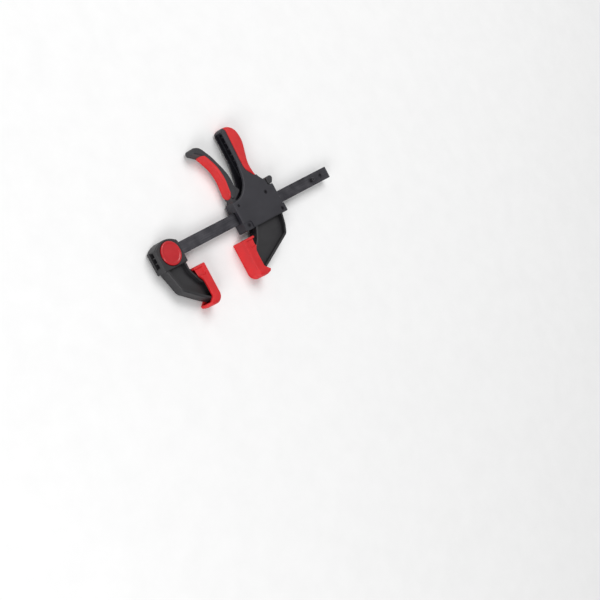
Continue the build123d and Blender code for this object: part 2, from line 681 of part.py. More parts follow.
def insert_solid(depth, proud):
    """Strip along the trigger's front edge, with rounded ends."""
    face = trigger_face()
    strip = slab(Pos(-proud, -proud * 0.35, 0) * face, -INSERT_HALF, INSERT_HALF)
    strip -= slab(Pos(depth, depth * 0.35, 0) * face, -INSERT_HALF - 1, INSERT_HALF + 1)
    strip &= block(-60, 60, BAR_TOP + INSERT_LOW, BAR_TOP + INSERT_HIGH, -INSERT_HALF, INSERT_HALF)
    low, high, half = INSERT_LOW, INSERT_HIGH, INSERT_HALF
    end = half - 0.2
    corners = [(low, -half), (high, -half), (high, half), (low, half)]
    window = outline(corners, [end, INSERT_TOP_CORNER, INSERT_TOP_CORNER, end])
    return strip & (Pos(0, BAR_TOP, 0) * extrude(Plane.YZ * window, amount=60, both=True))


def make_trigger_grip():
    return insert_solid(INSERT_DEPTH, INSERT_PROUD)


def make_trigger():
    """Curved channel lever with a pivot boss and a cam at its root."""
    face = trigger_face()
    lever = round_faces(slab(face, -TRIGGER_HALF, TRIGGER_HALF), TRIGGER_EDGE)
    pivot_y = BAR_TOP + PIVOT_RISE
    root = slab(trigger_root_face(), -TRIGGER_ROOT_HALF, TRIGGER_ROOT_HALF)
    root += rod(PIVOT_X, pivot_y, PIVOT_BOSS, -TRIGGER_ROOT_HALF, TRIGGER_ROOT_HALF)
    root += rod(PIVOT_X, pivot_y + CAM_RISE, CAM_RADIUS, -TRIGGER_ROOT_HALF, TRIGGER_ROOT_HALF)
    lever += root
    room = TRIGGER_HALF - TRIGGER_WALL
    hollow = slab(Pos(TRIGGER_FRONT_WALL, TRIGGER_FRONT_WALL * 0.35, 0) * face, -room, room)
    hollow &= block(0, 60, BAR_TOP + 30, BAR_TOP + 120, -room, room)
    lever -= hollow
    lever -= insert_solid(INSERT_DEPTH, INSERT_PROUD + 1)
    return lever - rod(PIVOT_X, pivot_y, PIVOT_RADIUS + PIVOT_FIT, -TRIGGER_HALF - 1, TRIGGER_HALF + 1)


# ------------------------------------------------------------------ drive plates
def drive_plate_span():
    """Front of the plates at rest and their rear at the end of the squeeze."""
    front = PIVOT_X + CAM_RADIUS + DRIVE_PLATE_GAP
    return front, front + DRIVE_PLATE_COUNT * DRIVE_PLATE_THICK + DRIVE_STROKE


def slotted_plate(thick, half, top, bottom, fit):
    """Steel plate across the bar with a slot that the bar runs through."""
    plate = block(-thick / 2, thick / 2, bottom, top, -half, half)
    plate = fillet(plate.edges().filter_by(Axis.X), PLATE_CORNER)
    slot_y = BAR_TOP + fit
    slot_z = BAR_HALF + PLATE_SLOT_FIT
    return plate - block(-thick, thick, -slot_y, slot_y, -slot_z, slot_z)


def make_drive_plates():
    front = drive_plate_span()[0]
    top = BAR_TOP + DRIVE_PLATE_RISE
    bottom = BAR_LOW - DRIVE_PLATE_DROP
    plate = slotted_plate(DRIVE_PLATE_THICK, PLATE_HALF, top, bottom, PLATE_SLOT_FIT)
    return [Pos(front + (i + 0.5) * DRIVE_PLATE_THICK, 0, 0) * plate for i in range(DRIVE_PLATE_COUNT)]


def make_drive_spring():
    start = drive_plate_span()[0] + DRIVE_PLATE_COUNT * DRIVE_PLATE_THICK
    spring = coil(DRIVE_SPRING_RADIUS, DRIVE_WIRE, SPRING_SEAT_X - start, DRIVE_SPRING_TURNS)
    return Pos(start, BAR_TOP + DRIVE_SPRING_RISE, 0) * Rot(0, 90, 0) * spring


# ------------------------------------------------------------------ brake and release lever
def make_brake_plate():
    """Tilted plate round the bar, cranked back above the body to carry the knob."""
    fulcrum = BAR_TOP + BRAKE_RISE
    bottom = BAR_LOW - BRAKE_DROP
    crank = fulcrum + 5
    plate = slotted_plate(BRAKE_THICK, BRAKE_HALF, crank, bottom, BRAKE_SLOT_FIT)
    tail = [(-1.5, crank - 3), (1.5, crank - 4.2), (11.5, crank + 6), (9.4, crank + 8.2), (-1.5, crank - 2)]
    plate += slab(make_face(Polyline(*tail, close=True)), -BRAKE_HALF, BRAKE_HALF)
    return Pos(BRAKE_X, fulcrum, 0) * Rot(0, 0, -BRAKE_TILT) * Pos(0, -fulcrum, 0) * plate


def make_release_knob():
    """Thumb tab on the tail of the brake plate."""
    top = BAR_TOP + HOUSING_RISE
    front = HOUSING_REAR - 7.3
    points = [
        (front, top + 0.6),
        (HOUSING_REAR + 0.6, top + 0.6),
        (HOUSING_REAR + 5.8, top + 6.9),
        (HOUSING_REAR + 3.2, top + 11.0),
        (front, top + 10.1),
    ]
    knob = slab(outline(points, [1.7, 2, 3.3, 3.5, 3.6]), -KNOB_HALF, KNOB_HALF)
    knob = round_faces(knob, KNOB_EDGE)
    return knob - make_brake_plate()


def make_brake_spring():
    drop = BAR_WIDTH + BRAKE_RISE + BRAKE_SPRING_DROP
    lean = Vector(BRAKE_THICK / 2, -drop, 0).rotate(Axis.Z, -BRAKE_TILT)
    start = BRAKE_X + lean.X + BRAKE_SPRING_GAP
    spring = coil(BRAKE_SPRING_RADIUS, BRAKE_SPRING_WIRE, BRAKE_SEAT_X - start, BRAKE_SPRING_TURNS)
    return Pos(start, BAR_LOW - BRAKE_SPRING_DROP, 0) * Rot(0, 90, 0) * spring


# ------------------------------------------------------------------ nodes
os.makedirs("parts", exist_ok=True)
pad = make_pad()
export("bar", make_bar())
export("stop_pin", make_stop_pin())
export("fixed_jaw", make_fixed_jaw())
export("fixed_jaw_pad", mirror(pad, about=Plane.YZ))
export("lock_button", make_lock_button())
export("lock_plate", make_lock_plate())
export("lock_screws", *make_lock_screws())
export("lock_spring", make_lock_spring())
export("moving_jaw", BODY * make_moving_jaw())
export("moving_jaw_pad", BODY * pad)
export("housing_right", BODY * make_housing_right())
export("housing_left", BODY * make_housing_left())
export("housing_screws", *[BODY * screw for screw in make_housing_screws()])
export("handle_grip", BODY * make_handle_grip())
export("trigger_pin", BODY * make_trigger_pin())
export("trigger", BODY * make_trigger())
export("trigger_grip", BODY * make_trigger_grip())
export("drive_plates", *[BODY * plate for plate in make_drive_plates()])
export("drive_spring", BODY * make_drive_spring())
export("brake_plate", BODY * make_brake_plate())
export("brake_spring", BODY * make_brake_spring())
export("release_knob", BODY * make_release_knob())
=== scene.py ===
# %% [markdown]
# # A one-handed bar clamp
# The clamp is a flat steel bar with a fixed jaw at one end and a sliding body with a pistol handle, a
# squeeze trigger and a second jaw. The hard parts come finished in shape from the solid model, so this
# lesson gives them their surfaces. It builds the soft mouldings, the lock button and the springs anew,
# because a moulding's edges are rounder than the solids' and a spring has to shorten. The model is
# loaded first, since everything else is placed by it, and its box is kept for the table's height and
# the lamps' aim.

# %% Load the clamp
import bmesh
import bpy
import numpy as np
from mathutils import Matrix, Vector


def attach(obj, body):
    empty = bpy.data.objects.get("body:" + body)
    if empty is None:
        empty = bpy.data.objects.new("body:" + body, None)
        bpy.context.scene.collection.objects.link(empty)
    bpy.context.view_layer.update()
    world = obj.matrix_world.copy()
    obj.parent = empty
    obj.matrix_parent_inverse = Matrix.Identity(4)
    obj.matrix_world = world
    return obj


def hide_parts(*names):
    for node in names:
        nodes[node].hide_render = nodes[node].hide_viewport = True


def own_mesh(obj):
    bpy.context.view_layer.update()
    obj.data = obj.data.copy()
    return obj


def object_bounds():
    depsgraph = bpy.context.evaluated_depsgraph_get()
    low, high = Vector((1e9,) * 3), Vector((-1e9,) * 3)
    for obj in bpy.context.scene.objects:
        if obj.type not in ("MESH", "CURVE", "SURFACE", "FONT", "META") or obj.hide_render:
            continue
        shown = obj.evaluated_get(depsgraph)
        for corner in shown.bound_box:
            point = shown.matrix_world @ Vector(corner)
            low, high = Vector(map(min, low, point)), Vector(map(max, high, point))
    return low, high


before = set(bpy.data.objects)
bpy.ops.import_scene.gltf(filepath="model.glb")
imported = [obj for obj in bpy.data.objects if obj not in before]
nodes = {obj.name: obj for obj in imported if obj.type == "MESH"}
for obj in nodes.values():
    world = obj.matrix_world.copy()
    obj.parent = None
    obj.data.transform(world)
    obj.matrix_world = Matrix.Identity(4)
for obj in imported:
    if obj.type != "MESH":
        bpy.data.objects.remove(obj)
solid_box = [list(corner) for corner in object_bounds()]
print("nodes:", len(nodes), "box:", np.round(solid_box, 4).tolist())

# %% [markdown]
# ## Sizes that the new pieces share
# Lengths are in millimetres, as on the drawing of the clamp, and become metres in one place only.
# X runs along the bar, Y goes from the jaws to the handle, and Z through the thickness. On the drawing
# Y starts at the middle of the bar, which lies 49.65 mm from the model's own origin, and the sliding
# body is drawn from the face of its jaw, which stands 76 mm from the fixed one.

# %% Millimetres to the model's own metres
MM = 0.001
BAR_LINE = 49.65
JAW_OPENING = 76.0


def to_model(points, body_x=0.0):
    """Points of the drawing, in millimetres, moved to the model's origin and turned to metres."""
    return (np.asarray(points, float) + (body_x, BAR_LINE, 0.0)) * MM


print("the drawing's origin in metres:", to_model((0.0, 0.0, 0.0)))

# %% [markdown]
# ## Surfaces from a grid of points
# Every new piece is a grid of points, each a function of two parameters, so a whole surface is a few
# array operations. Neighbouring points make four-sided faces. Where a row shrinks to a point, or the
# last column meets the first, points fall on each other, and merging them closes the surface. The
# outward side is then worked out once for the whole closed shell. The same shapes could be pulled into
# place by hand, but a formula can be read, changed and run again.

# %% From grids to a mesh object
SAME_POINT = 1e-6
NO_FACE = 1e-7


def grid_faces(rows, columns):
    """Corner numbers of the faces between neighbouring points, where the last column meets the first."""
    index = np.arange(rows * columns).reshape(rows, columns)
    index = np.hstack([index, index[:, :1]])
    faces = np.stack([index[:-1, :-1], index[:-1, 1:], index[1:, 1:], index[1:, :-1]], axis=-1)
    return faces.reshape(-1, 4)


def skin(name, grids, body, material, replaced, crease=40.0):
    """One closed object from grids shaped (rows, columns, 3) in metres, sharp past crease degrees."""
    points, faces, start = [], [], 0
    for grid in grids:
        rows, columns = grid.shape[:2]
        faces.append(grid_faces(rows, columns) + start)
        points.append(grid.reshape(-1, 3))
        start += rows * columns
    mesh = bpy.data.meshes.new(name)
    mesh.from_pydata(np.vstack(points), [], np.vstack(faces).tolist())
    shell = bmesh.new()
    shell.from_mesh(mesh)
    bmesh.ops.remove_doubles(shell, verts=shell.verts, dist=SAME_POINT)
    bmesh.ops.dissolve_degenerate(shell, edges=shell.edges, dist=NO_FACE)
    bmesh.ops.recalc_face_normals(shell, faces=shell.faces)
    open_edges = sum(edge.is_boundary for edge in shell.edges)
    shell.to_mesh(mesh)
    shell.free()
    mesh.shade_smooth()
    mesh.set_sharp_from_angle(angle=np.radians(crease))
    mesh.materials.append(material)
    piece = bpy.data.objects.new(name, mesh)
    bpy.context.scene.collection.objects.link(piece)
    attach(piece, body)
    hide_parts(replaced)
    print(name, "faces:", len(mesh.polygons), "open edges:", open_edges)
    return piece


print("points closer than", round(SAME_POINT / MM, 4), "mm become one")

# %% [markdown]
# A moulding's side view is straight runs joined by arcs. The arc at a corner has its centre on the
# line that halves the corner, and points between its two ends follow from the angle it sweeps. The
# path is then cut into equal steps, so that the faces along it are all about the same size.

# %% Rounded paths and even steps
def rounded(corners, radii, steps=24):
    """Path through the corners, each turned into a tangent arc; the first and last point stay sharp."""
    corners = np.asarray(corners, float)
    middle = corners[1:-1]
    back = corners[:-2] - middle
    ahead = corners[2:] - middle
    back /= np.linalg.norm(back, axis=1, keepdims=True)
    ahead /= np.linalg.norm(ahead, axis=1, keepdims=True)
    half = np.arccos(np.clip((back * ahead).sum(1), -1, 1)) / 2
    radii = np.asarray(radii, float)
    halfway = back + ahead
    halfway /= np.linalg.norm(halfway, axis=1, keepdims=True)
    centre = middle + halfway * (radii / np.sin(half))[:, None]
    first = middle + back * (radii / np.tan(half))[:, None] - centre
    last = middle + ahead * (radii / np.tan(half))[:, None] - centre
    sweep = (np.pi - 2 * half)[:, None, None]
    t = np.linspace(0, 1, steps)[None, :, None]
    arcs = np.sin((1 - t) * sweep) * first[:, None] + np.sin(t * sweep) * last[:, None]
    arcs = centre[:, None] + arcs / np.sin(sweep)
    return np.vstack([corners[:1], arcs.reshape(-1, 2), corners[-1:]])


def even_steps(path, count):
    """The same path as a number of points at equal distances along it."""
    steps = np.linalg.norm(np.diff(path, axis=0), axis=1)
    along = np.concatenate([[0], np.cumsum(steps)])
    wanted = np.linspace(0, along[-1], count)
    return np.stack([np.interp(wanted, along, path[:, i]) for i in range(path.shape[1])], axis=1)


def eased(count):
    """Shares from 0 to 1 that stand closer near both ends: half of one less the cosine."""
    return 0.5 - 0.5 * np.cos(np.linspace(0, np.pi, count))


def left_normals(path):
    """Unit normals on the left of the direction in which the path runs."""
    tangent = np.gradient(path, axis=0)
    tangent /= np.linalg.norm(tangent, axis=1, keepdims=True)
    return np.stack([-tangent[:, 1], tangent[:, 0]], axis=1)


print("a square corner as an arc:", np.round(rounded([(0, 0), (9, 0), (9, 9)], [5], 3), 2).tolist())

# %% [markdown]
# Two measures shape the edges. One is how far a point lies from a path, and the other is how much a
# face with a rounded edge has drawn back at that distance: the gap between a square corner and a
# quarter circle in it.

# %% Distance and rounding
NO_RUN = 1e-9


def distance_to(points, path):
    """Shortest distance from each point to the path's runs, for any shape of point array."""
    flat = points.reshape(-1, 1, 2)
    start, run = path[:-1][None], np.diff(path, axis=0)[None]
    t = np.clip(((flat - start) * run).sum(-1) / np.maximum((run * run).sum(-1), NO_RUN), 0, 1)
    near = np.linalg.norm(flat - start - run * t[..., None], axis=-1)
    return near.min(1).reshape(points.shape[:-1])


def round_off(x, radius):
    """How much a rounded edge has drawn back at a depth x: radius less the circle's height there."""
    inside = np.clip(radius - x, 0, radius)
    return radius - np.sqrt(radius ** 2 - inside ** 2)


print("an edge of 1 mm draws back at 0 and 0.5 mm by", np.round(round_off(np.array([0, 0.5]), 1), 2))

# %% [markdown]
# ## Colour and shader nodes
# Colours are written the way a paint card or a web page gives them, as two hexadecimal digits each
# for red, green and blue. Light adds up only in linear values, so one function converts them. One
# small helper adds a shader node with its settings and its links, which keeps each finish below
# short enough to read as a recipe. A noise repeats so many times in a metre, so its scale is worked
# out from the size of the real pattern. Nearly all of a noise lies between 0.3 and 0.7, and that range
# is what the finishes turn into their range of roughness.

# %% Colour values and one node helper
NOISE_RANGE = {"From Min": 0.3, "From Max": 0.7}


def linear(hex_colour):
    """Linear red, green, blue and alpha of an sRGB colour such as c62a2e."""
    value = np.array([int(hex_colour[i:i + 2], 16) for i in (0, 2, 4)]) / 255
    value = np.where(value <= 0.04045, value / 12.92, ((value + 0.055) / 1.055) ** 2.4)
    return (*value.tolist(), 1.0)


def per_metre(size_mm):
    """Noise scale of a pattern that repeats at a size in millimetres: the repeats in a metre."""
    return 1000 / size_mm


def finish_named(name):
    """An empty material and its principled shader, ready for its values and links."""
    material = bpy.data.materials.new(name)
    material.use_nodes = True
    return material, material.node_tree.nodes["Principled BSDF"]


def add(material, kind, links=None, inputs=None, stops=(), **settings):
    """Adds one node: settings are its properties, inputs its values, links the sockets that feed it.

    A colour ramp takes two stops, each a position and an sRGB colour.
    """
    node = material.node_tree.nodes.new(kind)
    for key, value in settings.items():
        setattr(node, key, value)
    for key, value in (inputs or {}).items():
        node.inputs[key].default_value = value
    for key, socket in (links or {}).items():
        material.node_tree.links.new(socket, node.inputs[key])
    for i, (position, colour) in enumerate(stops):
        node.color_ramp.elements[i].position = position
        node.color_ramp.elements[i].color = linear(colour)
    return node


def feed(material, shader, sockets):
    """Links what varies over the surface to the shader's sockets of those names."""
    for key, socket in sockets.items():
        material.node_tree.links.new(socket, shader.inputs[key])


print("a middle grey, 808080, is", np.round(linear("808080")[0], 3), "of full light")

# %% [markdown]
# ## Glass-filled nylon
# Body, handle, trigger and jaws are injection-moulded polyamide with glass fibre in it. The steel mould
# was spark-eroded, and its fine grain scatters the light, so the plastic is a deep cool grey with a wide
# dull sheen and not a mirror. Glass fibres near the skin make faint cloudy streaks where the melt
# flowed, about 22 mm wide and longer along the bar, and the sheen varies with them. The real grain is
# about 0.1 mm, too fine to see here, so it is drawn at 0.35 mm. A scanned surface could be laid over
# the parts, but noise that is worked out from a point's position needs no file and no unwrapping.
# Nylon's index of refraction is 1.53.

# %% The nylon of body and jaws
def moulded_nylon(name, deep, pale, grain_mm=0.35, flow_mm=22.0):
    """Spark-eroded moulded nylon between two close greys."""
    material, shader = finish_named(name)
    place = add(material, "ShaderNodeTexCoord").outputs["Object"]
    stretched = add(material, "ShaderNodeMapping", {"Vector": place}, {"Scale": (0.6, 1.0, 1.6)})
    flow = add(material, "ShaderNodeTexNoise", {"Vector": stretched.outputs["Vector"]},
               {"Scale": per_metre(flow_mm), "Detail": 5.0, "Roughness": 0.62})
    cloud = add(material, "ShaderNodeValToRGB", {"Fac": flow.outputs["Fac"]},
                stops=[(0.32, deep), (0.70, pale)])
    grain = add(material, "ShaderNodeTexNoise", {"Vector": place},
                {"Scale": per_metre(grain_mm), "Detail": 2.0, "Roughness": 0.5})
    dulled = add(material, "ShaderNodeMapRange", {"Value": flow.outputs["Fac"]},
                 {**NOISE_RANGE, "To Min": 0.42, "To Max": 0.56})
    relief = add(material, "ShaderNodeBump", {"Height": grain.outputs["Fac"]},
                 {"Strength": 0.35, "Distance": 0.06 * MM})
    feed(material, shader, {"Base Color": cloud.outputs["Color"], "Roughness": dulled.outputs["Result"],
                            "Normal": relief.outputs["Normal"]})
    shader.inputs["IOR"].default_value = 1.53
    return material


body_nylon = moulded_nylon("moulded_nylon_body", "222128", "2c2b32")
jaw_nylon = moulded_nylon("moulded_nylon_jaw", "1c1b1e", "272629")
lever_nylon = moulded_nylon("moulded_nylon_levers", "232226", "2e2d31")
print("nylon finishes:", body_nylon.name, jaw_nylon.name, lever_nylon.name)

# %% [markdown]
# ## Black-oxide steel
# The bar is cold-rolled flat steel, blackened in a hot salt bath. Rolling leaves fine lines along its
# length, and the oxide is a thin dark film through which the metal still shines softly. The brake and
# drive plates bite the bar each time it is used, so its surface has worn, lighter patches, drawn about
# 17 mm apart. It stays a metal, with a dark base colour for the film. Rolling lines are about 0.05 mm
# apart and are drawn at 0.5 mm, as bump and roughness, because real grooves would be finer than any
# mesh. The small steel parts are the same recipe with other greys and finer lines: the turned screws,
# the rolled spring pin, the plates and the springs' drawn wire.

# %% The steels
def blackened_steel(name, film, worn, line_mm=0.5, patch_mm=16.67):
    """Dark film on rolled steel, with lines along X and worn patches."""
    material, shader = finish_named(name)
    place = add(material, "ShaderNodeTexCoord").outputs["Object"]
    along = add(material, "ShaderNodeMapping", {"Vector": place}, {"Scale": (0.02, 1.0, 1.0)})
    lines = add(material, "ShaderNodeTexNoise", {"Vector": along.outputs["Vector"]},
                {"Scale": per_metre(line_mm), "Detail": 3.0, "Roughness": 0.6})
    patches = add(material, "ShaderNodeTexNoise", {"Vector": place},
                  {"Scale": per_metre(patch_mm), "Detail": 6.0})
    wear = add(material, "ShaderNodeMath", {0: lines.outputs["Fac"], 1: patches.outputs["Fac"]},
               operation="MULTIPLY")
    colour = add(material, "ShaderNodeValToRGB", {"Fac": wear.outputs["Value"]},
                 stops=[(0.16, film), (0.42, worn)])
    dulled = add(material, "ShaderNodeMapRange", {"Value": lines.outputs["Fac"]},
                 {**NOISE_RANGE, "To Min": 0.34, "To Max": 0.48})
    relief = add(material, "ShaderNodeBump", {"Height": lines.outputs["Fac"]},
                 {"Strength": 0.25, "Distance": 0.03 * MM})
    feed(material, shader, {"Base Color": colour.outputs["Color"], "Roughness": dulled.outputs["Result"],
                            "Normal": relief.outputs["Normal"]})
    shader.inputs["Metallic"].default_value = 1.0
    return material


bar_steel = blackened_steel("black_oxide_rolled_steel", "4b4a4f", "68676c")
screw_steel = blackened_steel("black_oxide_turned_steel", "2e2d30", "46454a", line_mm=0.3)
pin_steel = blackened_steel("rolled_spring_pin_steel", "5b5a5e", "7c7b7f", line_mm=0.3)
plate_steel = blackened_steel("hardened_plate_steel", "77767a", "a3a2a5", line_mm=0.4)
spring_steel = blackened_steel("drawn_spring_wire", "87868a", "b4b3b6", line_mm=0.2)
print("steels:", bar_steel.name, screw_steel.name, pin_steel.name, plate_steel.name, spring_steel.name)

# %% [markdown]
# ## Soft red elastomer
# Pads, handle grip and trigger insert are a thermoplastic elastomer, moulded over or pushed onto the
# nylon. It is a saturated red with a matt skin, because the mould was blasted with fine grit, so its
# highlights are wide and weak. Light goes about a millimetre into it and comes out again, reddest where
# it went deepest, which softens the edges and lets thin cheeks glow a little. Its index of refraction
# is about 1.5. Its grain, really 0.08 mm, is drawn at 0.4 mm, and faint clouds in the colour are about
# 14 mm apart. A matt red alone would look like paint, so some of the light goes under the skin.

# %% The elastomer
def soft_elastomer(name, deep, bright, roughness=(0.46, 0.60), grain_mm=0.4, cloud_mm=14.29):
    """Matt elastomer between two close reds, with light scattered under its skin."""
    material, shader = finish_named(name)
    place = add(material, "ShaderNodeTexCoord").outputs["Object"]
    cloud = add(material, "ShaderNodeTexNoise", {"Vector": place},
                {"Scale": per_metre(cloud_mm), "Detail": 4.0})
    colour = add(material, "ShaderNodeValToRGB", {"Fac": cloud.outputs["Fac"]},
                 stops=[(0.30, deep), (0.72, bright)])
    grain = add(material, "ShaderNodeTexNoise", {"Vector": place},
                {"Scale": per_metre(grain_mm), "Detail": 3.0})
    dulled = add(material, "ShaderNodeMapRange", {"Value": cloud.outputs["Fac"]},
                 {**NOISE_RANGE, "To Min": roughness[0], "To Max": roughness[1]})
    relief = add(material, "ShaderNodeBump", {"Height": grain.outputs["Fac"]},
                 {"Strength": 0.3, "Distance": 0.06 * MM})
    feed(material, shader, {"Base Color": colour.outputs["Color"], "Roughness": dulled.outputs["Result"],
                            "Normal": relief.outputs["Normal"]})
    shader.inputs["IOR"].default_value = 1.5
    shader.inputs["Subsurface Weight"].default_value = 0.3
    shader.inputs["Subsurface Radius"].default_value = (1.0, 0.2, 0.12)
    shader.inputs["Subsurface Scale"].default_value = 1.2 * MM
    return material


grip_rubber = soft_elastomer("matt_elastomer_grip", "c9171b", "d62224")
pad_rubber = soft_elastomer("matt_elastomer_pad", "cb141b", "d81f24")
print("elastomers:", grip_rubber.name, pad_rubber.name)

# %% [markdown]
# ## Glossy red button
# The lock button is moulded from ABS in a polished mould, so it is the one shiny red part: a clear
# highlight runs round its rim. The thumb rubs the polish off in places, so patches about 18 mm apart
# are a little duller. Its roughness is low but not nothing, because a mirror would look like glass. ABS
# has an index of refraction of 1.54.

# %% The button's ABS
def polished_abs(name, deep, bright, rubbed_mm=18.18):
    """Glossy plastic whose polish varies a little."""
    material, shader = finish_named(name)
    place = add(material, "ShaderNodeTexCoord").outputs["Object"]
    rubbed = add(material, "ShaderNodeTexNoise", {"Vector": place},
                 {"Scale": per_metre(rubbed_mm), "Detail": 2.0})
    colour = add(material, "ShaderNodeValToRGB", {"Fac": rubbed.outputs["Fac"]},
                 stops=[(0.3, deep), (0.7, bright)])
    dulled = add(material, "ShaderNodeMapRange", {"Value": rubbed.outputs["Fac"]},
                 {**NOISE_RANGE, "To Min": 0.26, "To Max": 0.34})
    feed(material, shader, {"Base Color": colour.outputs["Color"], "Roughness": dulled.outputs["Result"]})
    shader.inputs["IOR"].default_value = 1.54
    return material


button_abs = polished_abs("polished_abs_button", "b4121c", "c01822")
print("button:", button_abs.name)

# %% [markdown]
# ## Finishes on the hard parts
# A solid from the drawing keeps its shape and only takes its finish, in every slot that its mesh has.

# %% Give each solid its finish
FINISH_OF = {
    "bar": bar_steel, "stop_pin": pin_steel, "fixed_jaw": jaw_nylon, "moving_jaw": jaw_nylon,
    "housing_left": body_nylon, "housing_right": body_nylon, "housing_screws": screw_steel,
    "trigger": lever_nylon, "trigger_pin": screw_steel, "release_knob": lever_nylon,
    "lock_plate": plate_steel, "lock_screws": screw_steel, "drive_plates": plate_steel,
    "brake_plate": plate_steel,
}
for node, material in FINISH_OF.items():
    mesh = nodes[node].data
    if not mesh.materials:
        mesh.materials.append(material)
    for i in range(len(mesh.materials)):
        mesh.materials[i] = material
print("solids with a finish:", len(FINISH_OF))

# %% [markdown]
# ## Handle grip
# The grip is a soft shell round the back and the sides of the handle, where the palm presses. Seen from
# the side it is the region between a front line, which runs up the handle's flank, and the handle's
# back, which bulges and turns over the crown. Both lines are drawn longer than needed, and the grip
# lies between the two places where they cross.

# %% Grip outline in the side view
handle_back = rounded([(110.2, 8.0), (80.5, 38.0), (77.5, 56.0), (89.0, 88.0), (85.0, 112.5),
                       (59.6, 112.5)], [22, 30, 30, 17])
front_line = rounded([(120.2, 34.0), (75.8, 40.2), (64.9, 52.5), (64.9, 68.0), (67.1, 122.5)],
                     [4, 14, 60])
PARALLEL = 1e-12


def crossings(path, other):
    """Where one path crosses another: the number of its run and the point, in order along it."""
    runs = np.diff(path, axis=0)
    start, r = path[:-1, None], runs[:, None]
    q, s = other[None, :-1], np.diff(other, axis=0)[None]
    across = r[..., 0] * s[..., 1] - r[..., 1] * s[..., 0]
    across = np.where(np.abs(across) < PARALLEL, np.nan, across)
    t = ((q - start)[..., 0] * s[..., 1] - (q - start)[..., 1] * s[..., 0]) / across
    u = ((q - start)[..., 0] * r[..., 1] - (q - start)[..., 1] * r[..., 0]) / across
    i, j = np.nonzero((t >= 0) & (t < 1) & (u >= 0) & (u < 1))
    return [(i[k], path[i[k]] + runs[i[k]] * t[i[k], j[k]]) for k in np.argsort(i)]


def between_crossings(path, other):
    """The part of a path between its first and its last crossing with another path."""
    hits = crossings(path, other)
    (first, start), (last, end) = hits[0], hits[-1]
    return np.vstack([start[None], path[first + 1:last + 1], end[None]])


back_edge = between_crossings(handle_back, front_line)
front_edge = between_crossings(front_line, handle_back)
print("grip from", np.round(back_edge[0], 1), "to", np.round(back_edge[-1], 1))

# %% [markdown]
# A straight line from a point of the front line to its partner on the back gives every point between,
# and the thickness there depends on how far the point lies inside the back: a quarter circle of 7 mm
# near the edge, then flat. Following one such section up the handle draws the whole grip, and a second,
# smaller one inside makes it a hollow shell. At both ends of the grip the section shrinks to a short
# line, where inside and outside meet and close the shell. Bevelling a flat plate is the usual way to
# round an edge, but a bevel this wide runs into itself where the grip is narrow, and a thickness read
# from the distance to the edge doesn't.

# %% Grip surface
GRIP_HALF = 10.2
GRIP_ROUND = 7.0
GRIP_INSIDE = 6.95
GRIP_SKIN = 2.1
NARROW_SHARE = 0.55
LIP_ROUND = 1.1
LEAST_SKIN = 0.9
STATIONS = 180
ACROSS = 30


def grip_sections():
    """Closed C-shaped sections: half thickness is the grip's own less its rounded edge and lip."""
    back, front = even_steps(back_edge, STATIONS), even_steps(front_edge, STATIONS)
    reach = np.linalg.norm(back - front, axis=1)[:, None]
    inner_back = back + left_normals(back) * np.minimum(GRIP_SKIN, NARROW_SHARE * reach)
    share = eased(ACROSS)[None, :, None]
    outside = front[:, None] + (back - front)[:, None] * share
    inside = front[:, None] + (inner_back - front)[:, None] * share
    half = GRIP_HALF - round_off(distance_to(outside, handle_back), GRIP_ROUND)
    half -= round_off(distance_to(outside, front_edge), LIP_ROUND)
    under = GRIP_HALF - round_off(distance_to(inside, handle_back), GRIP_ROUND)
    inner_half = np.minimum(GRIP_INSIDE, under - LEAST_SKIN)
    inner_half[[0, -1]] = half[[0, -1]]
    top = np.dstack([outside, half])
    low = np.dstack([outside, -half])[:, ::-1]
    inner_low = np.dstack([inside, -inner_half])
    inner_top = np.dstack([inside, inner_half])[:, ::-1]
    return np.concatenate([top, low, inner_low, inner_top], axis=1)


skin("handle_grip_soft", [to_model(grip_sections(), JAW_OPENING)], "slider",
     grip_rubber, "handle_grip")

# %% [markdown]
# ## Trigger insert
# A strip of the same elastomer is moulded into the trigger's front edge, where the fingers pull. It
# follows the edge, is crowned across its width, and ends in a half circle below and nearly square above.
# Its section is a low rounded bar: the crown stays nearly flat over most of the width and falls steeply
# at its sides, and the bottom sits 1.35 mm deep in the nylon. A bevelled strip would be round in the
# same way all along. Here width and height are functions of the place along the strip, so that its two
# ends can differ.

# %% Insert along the trigger's front edge
INSERT_HALF = 7.95
INSERT_PROUD = 1.3
INSERT_SEAT = -1.35
LOW_END, LOW_END_ROUND = 26.3, 7.8
HIGH_END, HIGH_END_ROUND = 91.2, 5.0
EDGE_DROP = 0.5
END_SLOPE = 2.2
CROWN_FLATNESS = 5
CROWN_FALL = 2.4
FINE_POINTS = 4000
trigger_edge = rounded([(23.0, 23.5), (21.6, 33.0), (24.8, 52.0), (22.3, 70.0), (11.8, 89.2),
                        (-2.6, 97.8)], [16, 40, 40, 14])


